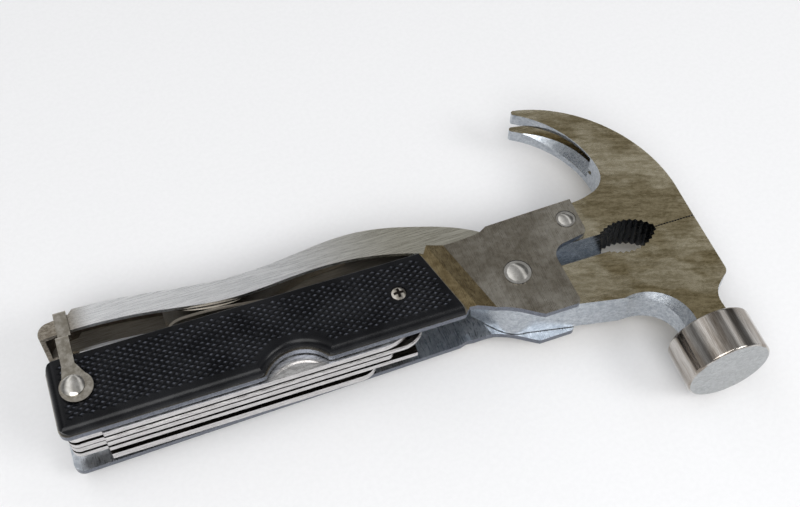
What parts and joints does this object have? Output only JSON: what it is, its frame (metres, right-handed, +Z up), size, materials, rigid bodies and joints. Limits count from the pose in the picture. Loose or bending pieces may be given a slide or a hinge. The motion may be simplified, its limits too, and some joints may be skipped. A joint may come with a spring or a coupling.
{
  "type": "hammer multi tool",
  "caption": "Folding pocket multi-tool: a hammer head and a nail claw close as pliers with a wire cutter, and folding tools and a latch sit in the handle.",
  "frame": {"origin": "middle of the bounding box, on the surface that the tool lies on", "axes": "+X along the handle towards the hammer and claw head, +Y towards the claw, +Z up through the tool's thickness, with the tool on its side"},
  "size_m": [0.1706, 0.092, 0.0289],
  "materials": {
    "jaw_steel": "ground steel with a warm cast",
    "lever_steel": "brushed along its length",
    "plate_steel": "satin sheet steel",
    "tool_steel": "ground edges",
    "spring_steel": "plain spring steel",
    "black_plastic": "checkered black plastic with a smooth border",
    "nickel": "polished nickel plate"
  },
  "bodies": {
    "handle": {"claw_jaw": "jaw_steel", "top_side_plate": "plate_steel", "bottom_side_plate": "plate_steel", "top_scale": "black_plastic", "bottom_scale": "black_plastic", "pivot_rivet": "nickel", "jaw_rivet": "nickel", "scale_screws": "nickel", "end_pin": "nickel", "pin_screws": "nickel", "handle_leaf_spring": "spring_steel", "anchor_rivets": "nickel", "spring_anchor": "spring_steel", "cross_pins": "nickel", "tool_washers": "spring_steel", "back_spring_1": "spring_steel", "back_spring_2": "spring_steel", "back_spring_3": "spring_steel", "back_spring_4": "spring_steel", "back_spring_5": "spring_steel", "back_spring_6": "spring_steel"},
    "lever": {"hammer_jaw": "jaw_steel", "handle_lever": "lever_steel", "lever_rivets": "nickel", "lever_leaf_spring": "spring_steel", "lever_leaf_rivet": "nickel"},
    "latch": {"latch_bail": "nickel"},
    "saw_blade": {"saw_blade": "tool_steel"},
    "knife_blade": {"knife_blade": "tool_steel"},
    "wood_file": {"wood_file": "tool_steel"},
    "flat_driver": {"flat_driver": "tool_steel"},
    "phillips_driver": {"phillips_driver": "tool_steel"},
    "bottle_opener": {"bottle_opener": "tool_steel"}
  },
  "joints": [
    {"name": "lever_hinge", "type": "hinge", "parent": "handle", "child": "lever", "pos_m": [0.03326, -0.00571, 0.01443], "axis": [0, 0, -1], "range_deg": [0, 28]},
    {"name": "latch_hinge", "type": "hinge", "parent": "handle", "child": "latch", "pos_m": [-0.07904, -0.00371, 0.01443], "axis": [0, 0, 1], "range_deg": [0, 150]},
    {"name": "saw_blade_hinge", "type": "hinge", "parent": "handle", "child": "saw_blade", "pos_m": [-0.07904, -0.00371, 0.01443], "axis": [0, 0, -1], "range_deg": [0, 180]},
    {"name": "knife_blade_hinge", "type": "hinge", "parent": "handle", "child": "knife_blade", "pos_m": [-0.07904, -0.00371, 0.01443], "axis": [0, 0, -1], "range_deg": [0, 180]},
    {"name": "wood_file_hinge", "type": "hinge", "parent": "handle", "child": "wood_file", "pos_m": [-0.07904, -0.00371, 0.01443], "axis": [0, 0, -1], "range_deg": [0, 180]},
    {"name": "flat_driver_hinge", "type": "hinge", "parent": "handle", "child": "flat_driver", "pos_m": [-0.07904, -0.00371, 0.01443], "axis": [0, 0, -1], "range_deg": [0, 180]},
    {"name": "phillips_driver_hinge", "type": "hinge", "parent": "handle", "child": "phillips_driver", "pos_m": [-0.07904, -0.00371, 0.01443], "axis": [0, 0, -1], "range_deg": [0, 180]},
    {"name": "bottle_opener_hinge", "type": "hinge", "parent": "handle", "child": "bottle_opener", "pos_m": [-0.07904, -0.00371, 0.01443], "axis": [0, 0, -1], "range_deg": [0, 180]}
  ]
}
